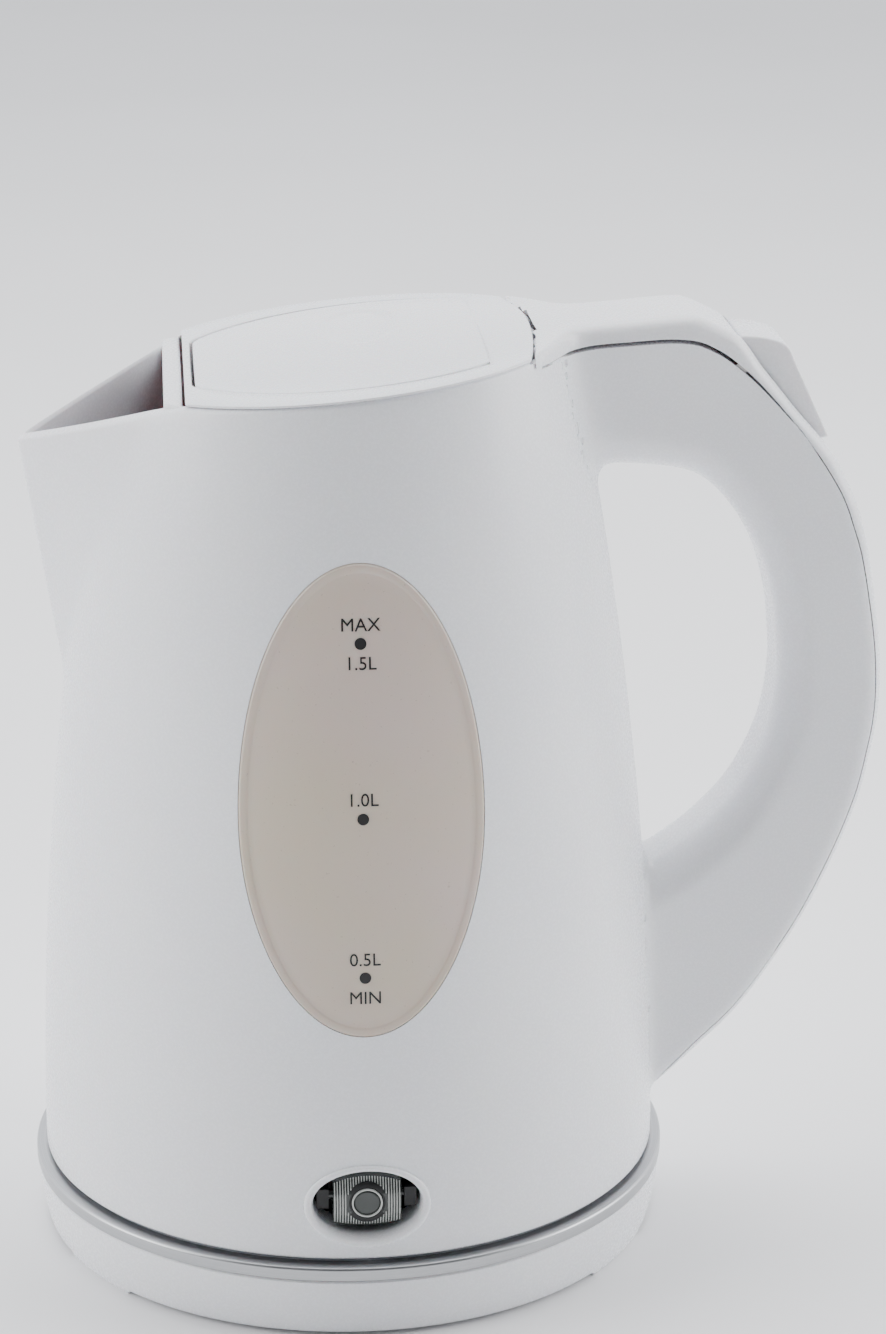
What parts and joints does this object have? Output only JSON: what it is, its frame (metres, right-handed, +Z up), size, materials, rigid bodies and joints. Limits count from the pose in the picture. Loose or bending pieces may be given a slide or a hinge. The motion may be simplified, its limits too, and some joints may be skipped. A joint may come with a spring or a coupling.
{
  "type": "electric kettle",
  "caption": "Cordless electric jug kettle with a V spout, hinged lid, side water window and rocker switch, seated on a round power base.",
  "frame": {"origin": "the base's vertical axis at table level, 1 mm under the flat underside of the base's bottom plate", "axes": "+Z up; -X towards the spout, +X towards the handle; the water window and the switch face -Y"},
  "size_m": [0.2026, 0.1537, 0.2225],
  "materials": {
    "white_gloss": "white moulded polypropylene, semi-gloss",
    "trim_steel": "satin steel trim ring",
    "steel": "plain steel",
    "grey_plastic": "grey moulded plastic",
    "black_plastic": "black moulded plastic",
    "copper_contact": "copper alloy contacts",
    "aluminium": "as cast and as rolled",
    "silicone": "translucent silicone",
    "smoked_clear": "smoked translucent window",
    "clear": "clear ribbed plastic",
    "lamp": "amber neon lamp"
  },
  "bodies": {
    "base": {"base_skirt": "white_gloss", "base_trim_ring": "trim_steel", "base_disc": "white_gloss", "base_bottom_plate": "grey_plastic", "base_connector": "black_plastic", "base_contact_neutral": "copper_contact", "base_contact_live": "copper_contact", "cord_gland": "black_plastic", "base_screw_1": "steel", "base_screw_2": "steel", "base_screw_3": "steel"},
    "socket": {"socket_housing": "black_plastic", "socket_ring_neutral": "copper_contact", "socket_ring_live": "copper_contact", "socket_pin_earth": "copper_contact"},
    "lid": {"lid_top": "white_gloss", "lid_inner": "white_gloss", "lid_seal": "silicone"},
    "lever": {"release_lever": "white_gloss"},
    "pusher": {"push_rod": "grey_plastic"},
    "rocker": {"power_rocker": "clear", "rocker_lens": "clear"},
    "kettle": {"bottom_cover": "white_gloss", "jug_shell": "white_gloss", "top_frame": "white_gloss", "handle_shell": "white_gloss", "handle_cover": "white_gloss", "switch_bezel": "white_gloss", "heating_plate": "steel", "bottom_screw_1": "steel", "bottom_screw_2": "steel", "bottom_screw_3": "steel", "lid_hinge_pin": "steel", "lid_spring": "steel", "lever_pin": "steel", "lever_spring": "steel", "spout_filter": "grey_plastic", "lamp_lead_1": "grey_plastic", "lamp_lead_2": "grey_plastic", "thermostat_control": "black_plastic", "switch_yoke": "black_plastic", "switch_body": "black_plastic", "heat_diffuser": "aluminium", "heating_element": "aluminium", "plate_seal": "silicone", "water_window": "smoked_clear", "pilot_lamp": "lamp"}
  },
  "joints": [
    {"name": "lift", "type": "slide", "parent": "base", "child": "socket", "axis": [0, 0, 1], "range_m": [0, 0.0694]},
    {"name": "swivel", "type": "hinge", "parent": "socket", "child": "kettle", "pos_m": [0, 0, 0.03], "axis": [0, 0, 1], "continuous": true},
    {"name": "lid_hinge", "type": "hinge", "parent": "kettle", "child": "lid", "pos_m": [0.04109, 0, 0.21554], "axis": [0, 1, 0], "range_deg": [0, 45]},
    {"name": "lever_press", "type": "hinge", "parent": "kettle", "child": "lever", "pos_m": [0.0904, 0, 0.21], "axis": [0, 1, 0], "range_deg": [0, 6], "stiffness_Nm_per_rad": 0.2, "springref_deg": -5.73},
    {"name": "pusher_slide", "type": "slide", "parent": "kettle", "child": "pusher", "axis": [-1, 0, 0], "range_m": [0, 0.0015]},
    {"name": "rocker_tilt", "type": "hinge", "parent": "kettle", "child": "rocker", "pos_m": [0, -0.067, 0.0326], "axis": [1, 0, 0], "range_deg": [0, 10]}
  ],
  "couplings": [
    {"joint": "pusher_slide", "follows": "lever_press", "m_per_rad": 0.014}
  ]
}
